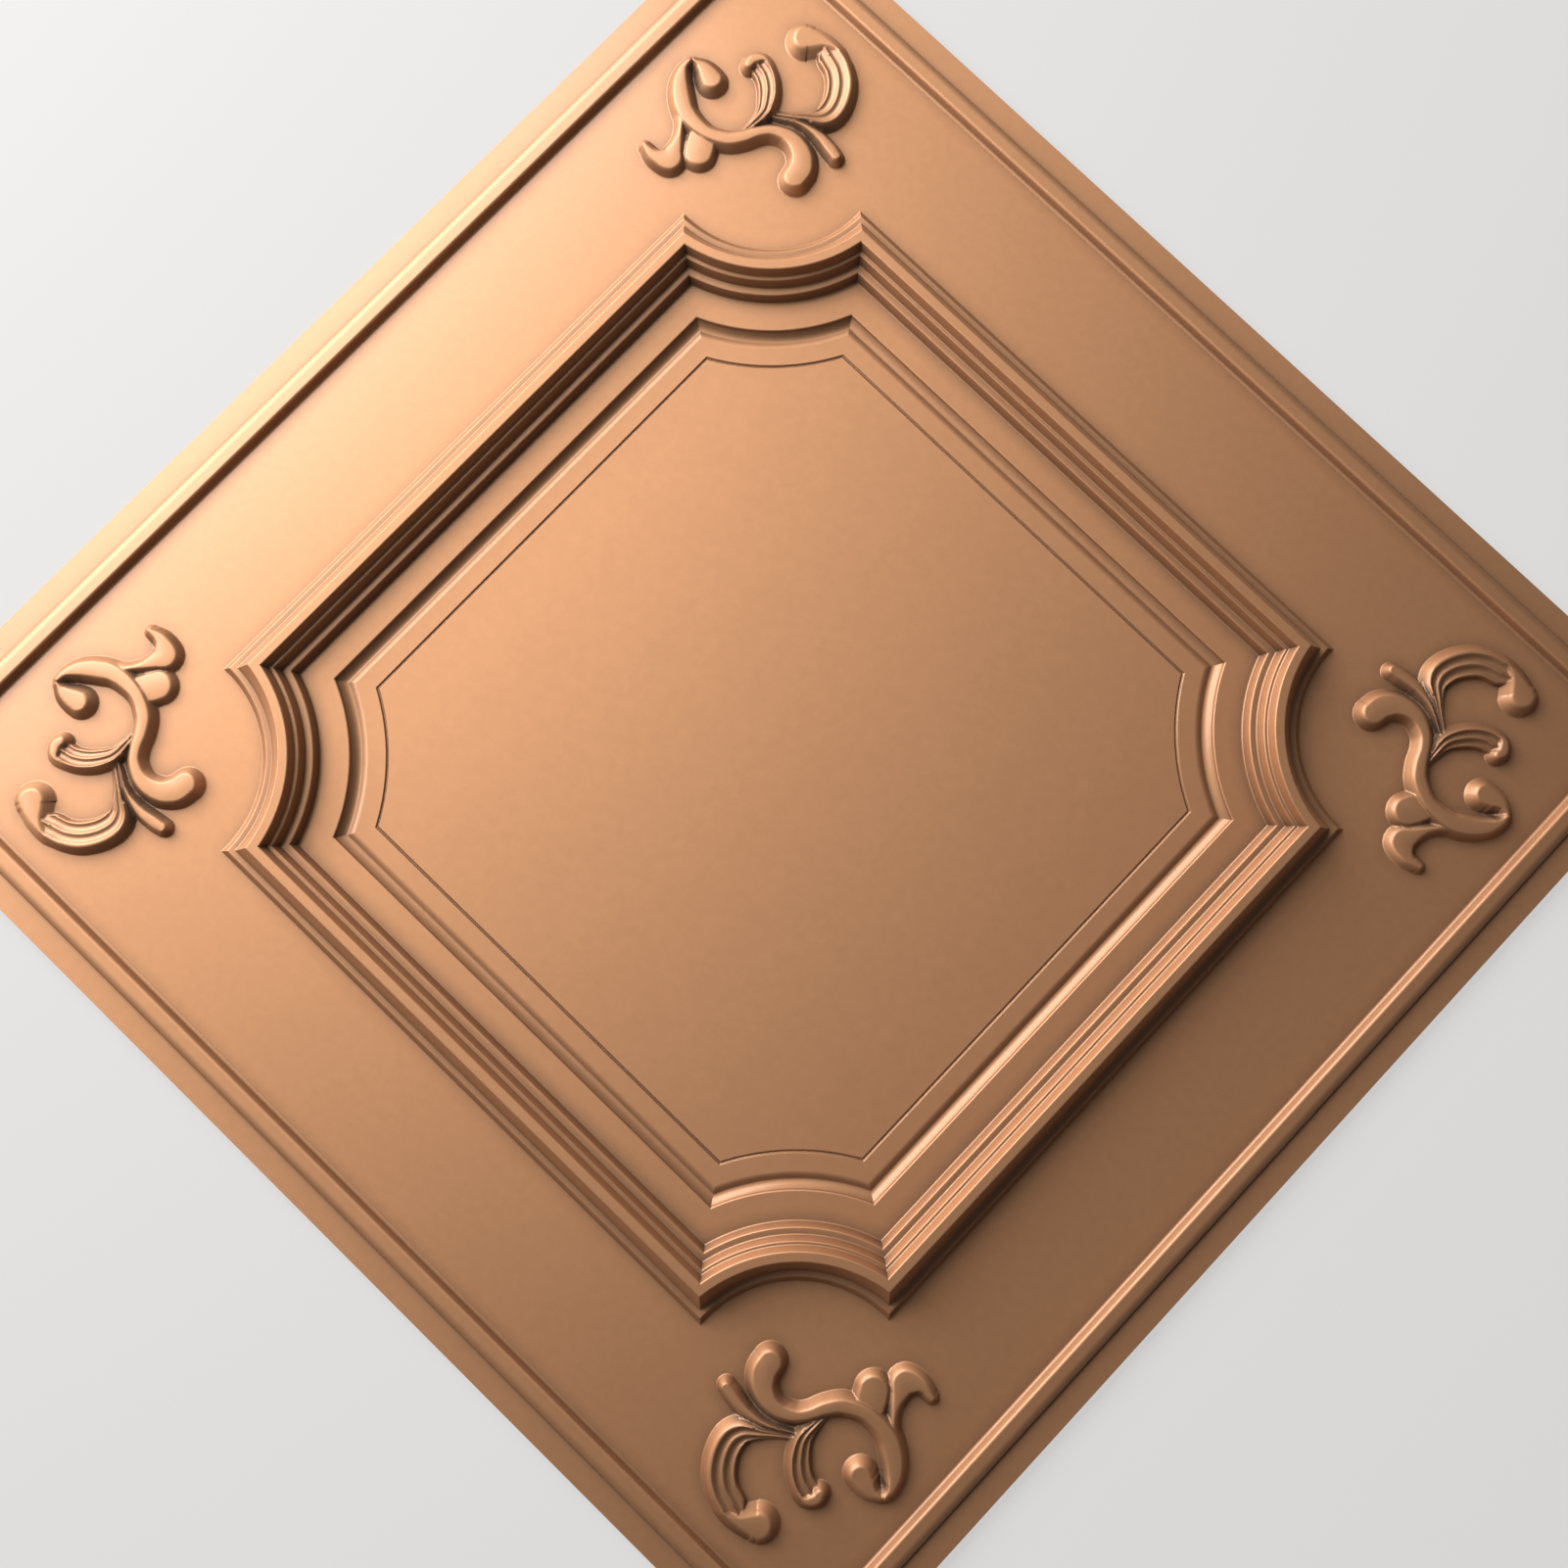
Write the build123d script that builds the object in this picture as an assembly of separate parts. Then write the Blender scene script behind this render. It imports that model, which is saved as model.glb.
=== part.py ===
from build123d import *
from math import cos, hypot, pi, radians, sin, sqrt
import os

# A square ceiling tile, formed from one thin PVC sheet, face up.
# X and Y run along its sides, the origin is at the middle of the plane that it rests on.
# Heights are first measured from the face of the plain field, and the sheet is raised onto its back at the end.

# Sheet
tile_side = 595.0
sheet = 0.8

# Rim: a flat flange, a rounded rise to a band, and a wall down to the field
flange_width = 11.3
flange_height = 1.2
band_width = 4.6
band_height = 4.0
band_rise_run = 4.4
rim_wall_run = 1.9

# Coffer outline: a square whose corners are cut by concave arcs
coffer_side = 420.8
corner_radius = 57.0
corner_centre = 208.3

# Coffer moulding, from the outside in
outer_step_height = 3.0
outer_step_run = 2.4
outer_ledge_width = 2.8
crest_height = 14.0
crest_rise_run = 5.9
crest_width = 4.5
stair_run = 1.9
upper_ledge_width = 1.6
upper_ledge_height = 9.4
lower_ledge_width = 3.2
lower_ledge_height = 4.7
floor_width = 13.3

# Cove round the centre panel: a steep lip, a hollow, and a soft shoulder that rises to the panel
cove_lip_height = 1.2
cove_lip_run = 0.5
cove_depth = 3.4
cove_width = 3.9
shoulder_width = 6.0
panel_height = -2.2
shoulder_land = 5.5
line_width = 1.2
line_depth = 0.7
curve_steps = 4

# Corner scrolls
scroll_x = 212.9
scroll_y = 209.9
scroll_height = 3.9
shoulder_share = 0.62
hollow_inset = 1.3

# Each leaf of a scroll is a row of places along its middle line, from the heart of the scroll to its tip:
# how far out along X, how far out along Y, and half its width at the foot.
stem = [(-1.0, 1.0, 3.6), (3.4, -13.6, 5.6), (9.4, -21.4, 6.1), (22.4, -24.6, 6.1), (36.0, -20.0, 6.8),
        (43.4, -12.0, 6.6), (46.0, -4.6, 5.4), (43.6, 0.0, 4.6)]
return_lobe = [(44.0, -2.6, 3.0), (39.6, -2.0, 6.6), (34.0, -2.4, 7.6)]
hooked_petal = [(24.6, -29.0, 3.2), (21.6, -37.0, 6.2), (21.0, -43.6, 7.6), (26.6, -48.6, 4.9), (33.6, -48.2, 3.2)]
round_petal = [(14.4, -27.0, 5.0), (11.4, -32.0, 6.6), (9.6, -35.6, 6.6)]
small_curl = [(1.0, -8.0, 3.2), (4.0, 1.4, 4.6), (6.6, 9.4, 5.6), (12.4, 15.8, 6.2), (20.0, 18.8, 6.8), (24.0, 17.8, 6.6)]
big_curl = [(-6.0, 11.6, 2.6), (-14.6, 16.6, 4.6), (-19.0, 23.6, 7.3), (-17.0, 33.2, 7.3), (-10.6, 40.8, 7.4),
            (-1.6, 46.2, 7.8), (8.0, 46.6, 8.2), (14.8, 44.0, 9.4)]
curved_leaf = [(-1.6, -1.0, 3.2), (-8.6, 1.6, 5.8), (-17.4, 2.8, 6.8), (-25.6, -0.4, 7.4), (-29.4, -7.4, 7.8),
               (-28.4, -12.0, 6.9)]
slim_leaf = [(-1.6, 4.2, 2.6), (-10.4, 8.6, 3.6), (-20.4, 11.6, 4.4), (-30.4, 11.4, 4.8), (-35.0, 10.8, 4.4)]
leaves = [stem, return_lobe, hooked_petal, round_petal, small_curl, big_curl, curved_leaf, slim_leaf]

# Allowances for forming: how far the blank reaches down, and how far cuts run past the sheet
deep = 30.0
spare = 3.0


def rim_outline(half, z):
    """Square outline of the rim, whose sides lie half away from the middle."""
    return Plane.XY.offset(z) * Rectangle(2 * half, 2 * half)


def coffer_outline(half, z):
    """Coffer outline whose straight sides lie half away from the middle: every line keeps the same arc centres."""
    radius = corner_radius + coffer_side / 2 - half
    ear = corner_centre - sqrt(radius**2 - (half - corner_centre) ** 2)
    waist = corner_centre - radius / sqrt(2)
    edges = []
    for turn in range(4):
        side = Line((half, -ear), (half, ear))
        corner = ThreePointArc((half, ear), (waist, waist), (ear, half))
        edges += [side.rotate(Axis.Z, 90 * turn), corner.rotate(Axis.Z, 90 * turn)]
    return Plane.XY.offset(z) * make_face(edges)


def line_offset(section, distance):
    """The section moved square to itself by distance, downwards, with its corners kept sharp."""
    shifted = []
    for (a, p), (b, q) in zip(section, section[1:]):
        length = hypot(b - a, q - p)
        out, down = distance * (p - q) / length, distance * (b - a) / length
        shifted.append(((a + out, p + down), (b + out, q + down)))
    moved = [shifted[0][0]]
    for ((a, p), (b, q)), ((c, r), (d, s)) in zip(shifted, shifted[1:]):
        cross = (b - a) * (s - r) - (q - p) * (d - c)
        along = ((c - a) * (s - r) - (r - p) * (d - c)) / cross
        moved.append((a + along * (b - a), p + along * (q - p)))
    moved.append(shifted[-1][1])
    return moved


def quarter_curve(start, end):
    """Places along a quarter of an ellipse, steep at the start and level at the end."""
    (a, p), (b, q) = start, end
    angles = [radians(90 * step / curve_steps) for step in range(1, curve_steps + 1)]
    return [(a + (b - a) * (1 - cos(angle)), p + (q - p) * sin(angle)) for angle in angles]


def shoulder_curve(start, end):
    """Places along a soft slope, level at both ends and steepest near the start."""
    (a, p), (b, q) = start, end
    shares = [step / curve_steps for step in range(1, curve_steps + 1)]
    return [(a + (b - a) * share, p + (q - p) * (1 - cos(pi * share**0.7)) / 2) for share in shares]


def rim_section():
    """Section of the rim, from the edge to the field, as distances from the middle and heights."""
    half = tile_side / 2
    step = half - flange_width
    band = step - band_rise_run
    wall = band - band_width
    foot = wall - rim_wall_run
    places = [(half, flange_height), (step, flange_height)]
    places += quarter_curve((step, flange_height), (band, band_height))
    return places + [(wall, band_height), (foot, 0.0), (foot - spare, 0.0)]


def coffer_section():
    """Section of the coffer, from the field to the centre panel."""
    places = [(coffer_side / 2 + spare, 0.0), (coffer_side / 2, 0.0)]
    runs = [
        (outer_step_run, outer_step_height),
        (outer_ledge_width, outer_step_height),
        (crest_rise_run, crest_height),
        (crest_width, crest_height),
        (stair_run, upper_ledge_height),
        (upper_ledge_width, upper_ledge_height),
        (stair_run, lower_ledge_height),
        (lower_ledge_width, lower_ledge_height),
        (stair_run, 0.0),
        (floor_width, 0.0),
        (cove_lip_run, -cove_lip_height),
    ]
    for run, height in runs:
        places.append((places[-1][0] - run, height))
    lip = places[-1]
    places += quarter_curve(lip, (lip[0] - cove_width, -cove_depth))
    hollow = places[-1]
    places += shoulder_curve(hollow, (hollow[0] - shoulder_width, panel_height))
    for run, height in [
        (shoulder_land, panel_height),
        (line_width / 2, panel_height - line_depth),
        (line_width / 2, panel_height),
        (spare, panel_height),
    ]:
        places.append((places[-1][0] - run, height))
    return places


def form(body, outline, section):
    """Press the section into the body: rises are added, falls are cut away, from the outside in."""
    for (a, p), (b, q) in zip(section, section[1:]):
        if abs(q - p) < 1e-6:
            continue
        frustum = loft([outline(a, p), outline(b, q)], ruled=True)
        body = body + frustum if q > p else body - frustum
    return body


def leaf_points(places, inset, share):
    """Points round a row of places, tip and tail included: each half width less inset, times share."""
    near, far = [], []
    for index, (x, y, full) in enumerate(places):
        before = places[max(index - 1, 0)]
        after = places[min(index + 1, len(places) - 1)]
        along = Vector(after[0] - before[0], after[1] - before[1]).normalized()
        half = share * (full - inset)
        middle = Vector(x, y)
        near.append(middle + Vector(-along.Y, along.X) * half)
        far.append(middle - Vector(-along.Y, along.X) * half)
        if index == 0:
            tail = middle - along * half
    tip = middle + along * half
    return [*near, tip, *reversed(far), tail]


def curved_outline(places, share, z):
    """Outline of a leaf on the face, in arcs through its points."""
    around = leaf_points(places, 0.0, share)
    around.append(around[0])
    arcs = [ThreePointArc(*around[start : start + 3]) for start in range(0, len(around) - 1, 2)]
    return Pos(scroll_x, scroll_y, z) * make_face(arcs)


def plain_outline(places, share, z):
    """Outline of the hollow behind a leaf, in straight lines, as the tool behind the sheet is plainer."""
    around = leaf_points(places, hollow_inset, share)
    return Pos(scroll_x, scroll_y, z) * make_face(Polyline(*around, close=True))


def lofted(outline, levels):
    """The leaves of one scroll, each lofted through the levels and joined to the others."""
    return Part() + [loft([outline(leaf, share, z) for share, z in levels], ruled=True) for leaf in leaves]


def in_corners(one):
    """The scroll in its own corner, and mirrored into the other three."""
    beside = one.mirror(Plane.YZ)
    return [one, beside, one.mirror(Plane.XZ), beside.mirror(Plane.XZ)]


def pressed(distance, side):
    """Everything under the sheet's face, or under its back when distance is the sheet's thickness."""
    rim = line_offset(rim_section(), distance)
    coffer = line_offset(coffer_section(), distance)
    top = rim[0][1]
    body = Pos(0, 0, (top - deep) / 2) * Box(side, side, top + deep)
    return form(form(body, rim_outline, rim), coffer_outline, coffer)


def ceiling_tile():
    """The pressed sheet with its corner scrolls, raised so that its back rests on the origin's plane."""
    scroll_face = lofted(curved_outline, [(1.0, -sheet / 2), (shoulder_share, scroll_height)])
    scroll_hollow = lofted(plain_outline, [(1.0, -sheet - spare), (1.0, -sheet), (shoulder_share, scroll_height - sheet)])
    blank = pressed(0.0, tile_side) - pressed(sheet, tile_side + 2 * spare)
    tile = blank + in_corners(scroll_face) - in_corners(scroll_hollow)
    return Pos(0, 0, -tile.bounding_box().min.Z) * tile


os.makedirs("parts", exist_ok=True)
export_step(ceiling_tile(), "parts/ceiling_tile.step")
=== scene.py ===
from math import acos, atan2, cos, hypot, pi, radians, sin, sqrt, tan

import bpy
import numpy as np
from bpy.props import FloatProperty, FloatVectorProperty, IntProperty, PointerProperty
from mathutils import Matrix, Vector
from mathutils.geometry import delaunay_2d_cdt


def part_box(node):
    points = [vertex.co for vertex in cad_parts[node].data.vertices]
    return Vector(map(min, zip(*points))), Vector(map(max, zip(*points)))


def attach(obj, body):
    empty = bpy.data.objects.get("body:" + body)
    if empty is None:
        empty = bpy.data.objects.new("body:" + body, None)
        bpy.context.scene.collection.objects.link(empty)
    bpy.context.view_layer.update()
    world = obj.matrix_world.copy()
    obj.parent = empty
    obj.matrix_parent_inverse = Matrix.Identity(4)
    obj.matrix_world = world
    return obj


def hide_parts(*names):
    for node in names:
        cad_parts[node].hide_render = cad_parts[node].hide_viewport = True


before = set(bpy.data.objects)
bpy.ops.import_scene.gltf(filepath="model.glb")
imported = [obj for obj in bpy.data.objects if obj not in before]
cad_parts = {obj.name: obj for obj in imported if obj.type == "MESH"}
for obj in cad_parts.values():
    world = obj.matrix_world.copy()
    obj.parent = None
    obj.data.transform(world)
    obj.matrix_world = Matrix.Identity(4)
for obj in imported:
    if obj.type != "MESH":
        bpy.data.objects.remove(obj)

bl_info = {
    "name": "Coffered ceiling tile",
    "version": (1, 0, 0),
    "blender": (4, 5, 0),
    "location": "3D View > Sidebar > Tile",
    "description": "Builds the formed, copper-finished sheet of a coffered ceiling tile, and its stage",
    "category": "Object",
}

NODE = "ceiling_tile"
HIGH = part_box(NODE)[1]
MM = 0.001

# Points nearer than this are one point, and a rounding takes at most this share of a side.
WELD = 1e-7
ROUNDING_SHARE = 0.47

# The mesh of a scroll on the face and behind it: how far apart its points lie, and the least they may.
FACE_SPACING, FACE_APART = 1.1 * MM, 0.32 * MM
BACK_SPACING, BACK_APART = 2.4 * MM, 0.7 * MM


# Scroll leaves

# How finely a leaf's middle line is followed, and how many points are measured against it at a time.
LINE_STEP = 0.25 * MM
CHUNK = 4000

# How softly a leaf's top turns into its walls, one leaf meets another, and a leaf meets the field.
EDGE_REACH = 1.1 * MM
LEAF_REACH = 0.3 * MM
FOOT_REACH = 0.4 * MM

# How far apart two heights are read for a slope.
SLOPE_REACH = 0.12 * MM

# How far a leaf's top falls from its middle to its side, as a share of its height.
CROWN = 0.16

# A leaf is a row of places along its middle line, ending at its tip, in millimetres from the heart of the
# scroll: out along X, out along Y, and half its width at the foot. The stem has a tip at both ends.
STEM = [(-28.6, -9.8, 8.1), (-27.4, -4.4, 8.2), (-23.4, 0.2, 7.6), (-17.5, 2.6, 6.7), (-11.5, 2.4, 6.0),
        (-5.0, -0.8, 5.4), (-0.8, -5.8, 5.3), (2.8, -12.6, 5.7), (8.2, -18.8, 6.0), (18.0, -23.1, 5.9),
        (30.0, -22.6, 6.6), (37.6, -18.6, 6.9), (43.6, -13.2, 6.2), (47.0, -7.4, 4.7), (47.4, -3.0, 4.0)]
RETURN_LOBE = [(46.6, -1.4, 3.6), (41.5, -0.8, 6.0), (37.3, -1.4, 7.3), (33.5, -2.4, 8.0)]
HOOKED_PETAL = [(33.9, -22.0, 6.0), (29.2, -27.5, 3.9), (25.2, -33.0, 4.1), (22.2, -39.0, 5.9),
                (20.9, -44.4, 8.2), (26.8, -48.1, 5.4), (33.9, -47.5, 3.7)]
ROUND_PETAL = [(16.6, -26.4, 8.6), (14.6, -29.6, 9.0), (13.0, -32.4, 8.9)]
SMALL_CURL = [(5.4, -10.0, 1.8), (4.2, -2.5, 3.6), (4.6, 4.5, 5.0), (8.2, 10.8, 5.9), (12.4, 15.2, 6.2),
              (17.0, 18.0, 6.3), (20.2, 18.9, 6.3)]
SMALL_LOBE = [(12.6, 19.4, 2.2), (18.6, 22.2, 3.2), (23.4, 21.9, 4.6), (26.0, 18.4, 5.2), (25.8, 15.6, 4.9)]
BIG_CURL = [(1.0, 7.6, 1.4), (-6.8, 12.8, 2.6), (-12.8, 16.8, 4.6), (-17.0, 20.6, 6.8), (-18.6, 26.0, 7.7),
            (-16.7, 33.0, 7.9), (-12.0, 39.8, 8.0), (-6.0, 44.2, 7.7), (0.5, 46.4, 7.6)]
CURL_LOBE = [(-6.0, 48.5, 3.6), (0.5, 50.2, 4.4), (7.5, 48.6, 6.2), (13.6, 44.9, 8.8), (15.6, 43.4, 9.5)]
SLIM_LEAF = [(0.6, 5.4, 1.3), (-6.5, 8.6, 2.3), (-14.0, 11.5, 3.2), (-23.0, 12.8, 4.2), (-30.4, 12.1, 4.7),
             (-35.1, 11.2, 4.5)]

# Flutes of the two curls: ridges across the leaf, from the outer foot to the inner one, as shares of its
# width and of its height, and how far each flute is scooped below the line between its ridges.
RIDGES = [(0.3, 1.0), (0.6, 0.86), (0.88, 0.6)]
SCOOPS = [0.24, 0.22]

# Faces across each flute, and how near a narrow fluted leaf comes to the height where its walls would meet.
FLUTE_STEPS = 6
NARROW_SHARE = 0.92

# Points beside the foot and the shoulder of each wall of a leaf, in millimetres inward from it.
FOOT_PLACES = (-0.4, -0.1, 0.2, 0.6)
SHOULDER_PLACES = (-0.5, -0.15, 0.2, 0.7)

# Rows along a leaf lie this share of the spacing apart, or this share of its half width where that is less.
ROW_SHARE = 0.75
ROW_WIDTH_SHARE = 0.3

# The rows of the fan round a leaf's end lie this share of the spacing apart.
FAN_SHARE = 0.8

# A crease between two leaves is found in this many halvings, down to this far under the field.
CREASE_HALVINGS = 10
CREASE_LOWEST = -0.3 * MM

# The patch of the field that holds a scroll, in millimetres from the middle of the tile.
PATCH = [(169.0, 230.0), (169.0, 200.0), (180.0, 186.0), (205.0, 166.0), (222.0, 154.2), (252.0, 154.2),
         (270.0, 165.0), (270.0, 252.0), (248.0, 269.0), (200.0, 269.0), (180.0, 250.0)]


class Leaf:
    """One leaf of a scroll: its places, height, the run of its two walls, and whether its top is fluted."""

    def __init__(self, places, height, left_run, right_run, fluted=False):
        stations = np.array(places) * MM
        self.height = height * MM
        self.runs = (left_run * MM, right_run * MM)
        self.fluted = fluted
        self.middle, self.along, self.half = self.smooth_line(stations)
        self.left = np.stack([-self.along[:, 1], self.along[:, 0]], axis=1)

    @staticmethod
    def smooth_line(stations):
        """Middle line through the stations, its direction and its half widths, at an even spacing."""
        before = np.vstack([2 * stations[0] - stations[1], stations[:-1]])
        after = np.vstack([stations[1:], 2 * stations[-1] - stations[-2]])
        slopes = (after - before) / 2
        places = []
        for start, end, leave, arrive in zip(stations, stations[1:], slopes, slopes[1:]):
            count = max(int(np.hypot(*(end - start)[:2]) / LINE_STEP), 2)
            t = (np.arange(count) / count)[:, None]
            places.append(
                (2 * t**3 - 3 * t**2 + 1) * start
                + (t**3 - 2 * t**2 + t) * leave
                + (3 * t**2 - 2 * t**3) * end
                + (t**3 - t**2) * arrive
            )
        places.append(stations[-1:])
        line = np.vstack(places)
        steps = np.gradient(line[:, :2], axis=0)
        along = steps / np.linalg.norm(steps, axis=1)[:, None]
        return line[:, :2], along, line[:, 2]

    def nearest(self, points):
        """For each point: the nearest place of the middle line, and how far it lies away and to the left."""
        apart = np.empty(len(points))
        index = np.empty(len(points), int)
        for start in range(0, len(points), CHUNK):
            part = slice(start, start + CHUNK)
            squares = ((points[part][:, None, :] - self.middle[None]) ** 2).sum(axis=2)
            index[part] = squares.argmin(axis=1)
            apart[part] = np.sqrt(squares.min(axis=1))
        lateral = ((points - self.middle[index]) * self.left[index]).sum(axis=1)
        return index, apart, lateral

    def top(self, index, lateral):
        """Height of the leaf's upper side, before its walls are cut."""
        half = self.half[index]
        if not self.fluted:
            return self.height * (1 - CROWN * (lateral / half) ** 2)
        share = (1 - lateral / half) / 2
        levels = RIDGES[0][1] - CROWN * np.clip(1 - share / RIDGES[0][0], 0, 1) ** 2
        for (start, high), (end, low), scoop in zip(RIDGES, RIDGES[1:], SCOOPS):
            part = np.clip((share - start) / (end - start), 0, 1)
            inside = (share >= start) & (share <= end)
            curve = high + (low - high) * part - scoop * 4 * part * (1 - part)
            levels = np.where(inside, curve, levels)
        levels = np.where(share > RIDGES[-1][0], RIDGES[-1][1], levels)
        slope = self.height / self.runs[0]
        return levels * np.minimum(self.height, NARROW_SHARE * slope * half)

    def wall(self, index, apart, lateral):
        """Height of the leaf's walls over each point, negative outside its foot."""
        half = self.half[index]
        share = np.clip(0.5 + 0.5 * lateral / half, 0, 1)
        run = self.runs[1] + (self.runs[0] - self.runs[1]) * share
        return (half - apart) * self.height / run

    def surface(self, points, wall_drop, top_drop):
        """Height of the leaf over each point, negative outside its foot, with its walls and top lowered."""
        index, apart, lateral = self.nearest(points)
        wall = self.wall(index, apart, lateral) - wall_drop
        return soft_min(wall, self.top(index, lateral) - top_drop, EDGE_REACH)


def soft_min(a, b, reach):
    """The lower of two heights, blended where they are nearer than reach."""
    near = np.maximum(reach - np.abs(a - b), 0) / reach
    return np.minimum(a, b) - near**2 * reach / 4


def soft_max(a, b, reach):
    """The higher of two heights, blended where they are nearer than reach."""
    return -soft_min(-a, -b, reach)


def scroll_leaves():
    """The leaves of one scroll, in the order that their points are laid."""
    return [
        Leaf(STEM, 4.9, 3.3, 3.3),
        Leaf(RETURN_LOBE, 4.7, 4.2, 3.2),
        Leaf(HOOKED_PETAL, 3.9, 2.8, 3.0),
        Leaf(ROUND_PETAL, 3.7, 2.8, 2.8),
        Leaf(SMALL_CURL, 4.8, 3.2, 2.0, fluted=True),
        Leaf(SMALL_LOBE, 4.9, 3.0, 3.4),
        Leaf(BIG_CURL, 4.9, 3.6, 2.0, fluted=True),
        Leaf(CURL_LOBE, 4.9, 3.4, 5.0),
        Leaf(SLIM_LEAF, 4.6, 3.0, 2.2),
    ]


class Relief:
    """The height of a scroll over the field, on the face or behind it."""

    def __init__(self, leaves, thickness):
        self.leaves = leaves
        self.thickness = thickness

    def raw(self, points):
        """Heights of every leaf over each point."""
        rows = []
        for leaf in self.leaves:
            slope = leaf.height / min(leaf.runs)
            rows.append(leaf.surface(points, self.thickness * hypot(1, slope), self.thickness))
        return np.array(rows)

    def height(self, points):
        """Height of the sheet over each point."""
        rows = self.raw(points)
        total = rows[0]
        for row in rows[1:]:
            total = soft_max(total, row, LEAF_REACH)
        return soft_max(total, -self.thickness, FOOT_REACH)

    def normal(self, points):
        """Direction square to the face over each point."""
        across = np.array([SLOPE_REACH, 0.0])
        up = np.array([0.0, SLOPE_REACH])
        slope_x = (self.height(points + across) - self.height(points - across)) / (2 * SLOPE_REACH)
        slope_y = (self.height(points + up) - self.height(points - up)) / (2 * SLOPE_REACH)
        normals = np.stack([-slope_x, -slope_y, np.ones(len(points))], axis=1)
        return normals / np.linalg.norm(normals, axis=1)[:, None]


def lateral_places(leaf, half, spacing):
    """Distances to the left of the middle line at which a leaf's section has its points."""
    places = []
    for side, run in zip((1, -1), leaf.runs):
        shoulder = min(run, half)
        for inward in FOOT_PLACES:
            places.append(side * (half - inward * MM))
        places.append(side * (half - 0.5 * shoulder))
        for inward in SHOULDER_PLACES:
            if shoulder + inward * MM < half:
                places.append(side * (half - shoulder - inward * MM))
    if leaf.fluted:
        for (start, _), (end, _) in zip(RIDGES, RIDGES[1:]):
            shares = np.linspace(start, end, FLUTE_STEPS + 1)
            places += list(half * (1 - 2 * shares))
    else:
        fill = int(2 * half / spacing)
        places += list(np.linspace(-half, half, fill + 2)[1:-1])
    return places


def leaf_grid(leaf, spacing):
    """Points over one leaf, as rows across it and fans round its two ends."""
    gap = min(ROW_SHARE * spacing, ROW_WIDTH_SHARE * leaf.half.mean())
    step = max(int(gap / LINE_STEP), 1)
    rows = []
    for index in [*range(0, len(leaf.middle) - 1, step), len(leaf.middle) - 1]:
        places = sorted(lateral_places(leaf, leaf.half[index], spacing))
        rows.append(leaf.middle[index] + np.outer(places, leaf.left[index]))
    for index, sense in ((0, -1), (-1, 1)):
        half = leaf.half[index]
        turns = max(int(pi * half / (spacing * FAN_SHARE)), 4)
        for turn in range(1, turns):
            angle = pi * turn / turns
            outward = leaf.left[index] * cos(angle) + sense * leaf.along[index] * sin(angle)
            places = [place for place in sorted(lateral_places(leaf, half, spacing)) if place > 0]
            rows.append(leaf.middle[index] + np.outer(places, outward))
    return rows


def crease_points(relief, rows):
    """Points where one leaf meets another, found between neighbours in a row."""
    starts = np.vstack([row[:-1] for row in rows])
    ends = np.vstack([row[1:] for row in rows])
    first = relief.raw(starts).argmax(axis=0)
    last = relief.raw(ends).argmax(axis=0)
    differ = first != last
    starts, ends, first, last = starts[differ], ends[differ], first[differ], last[differ]
    column = np.arange(len(starts))
    for _ in range(CREASE_HALVINGS):
        middle = (starts + ends) / 2
        heights = relief.raw(middle)
        ahead = heights[first, column] > heights[last, column]
        starts = np.where(ahead[:, None], middle, starts)
        ends = np.where(ahead[:, None], ends, middle)
    heights = relief.raw(starts)
    owner = heights.argmax(axis=0)
    real = ((owner == first) | (owner == last)) & (heights.max(axis=0) > CREASE_LOWEST)
    return starts[real]


def thinned(groups, apart):
    """Points of the groups in order, without any that lies nearer than apart to one already kept."""
    cells = {}
    kept = []
    for group in groups:
        for x, y in group:
            i, j = int(x // apart), int(y // apart)
            near = (cells.get((i + a, j + b), ()) for a in (-1, 0, 1) for b in (-1, 0, 1))
            if all((x - u) ** 2 + (y - v) ** 2 >= apart**2 for cell in near for u, v in cell):
                cells.setdefault((i, j), []).append((x, y))
                kept.append((x, y))
    return np.array(kept)


def scroll_points(relief, spacing, apart):
    """Where the mesh of a scroll has its points: on the creases, then over each leaf that shows there."""
    grids = [leaf_grid(leaf, spacing) for leaf in relief.leaves]
    rows = [row for grid in grids for row in grid]
    every = np.vstack(rows)
    owner = np.concatenate([np.full(len(row), k) for k, grid in enumerate(grids) for row in grid])
    shown = relief.raw(every).argmax(axis=0) == owner
    return thinned([crease_points(relief, rows), every[shown]], apart)


# Sections of the sheet


def line_offset(section, distance):
    """The section moved square to itself by distance, downwards, with its corners kept sharp."""
    shifted = []
    for (a, p), (b, q) in zip(section, section[1:]):
        length = hypot(b - a, q - p)
        out, down = distance * (p - q) / length, distance * (b - a) / length
        shifted.append(((a + out, p + down), (b + out, q + down)))
    moved = [shifted[0][0]]
    for ((a, p), (b, q)), ((c, r), (d, s)) in zip(shifted, shifted[1:]):
        cross = (b - a) * (s - r) - (q - p) * (d - c)
        along = ((c - a) * (s - r) - (r - p) * (d - c)) / cross
        moved.append((a + along * (b - a), p + along * (q - p)))
    moved.append(shifted[-1][1])
    return moved


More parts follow.
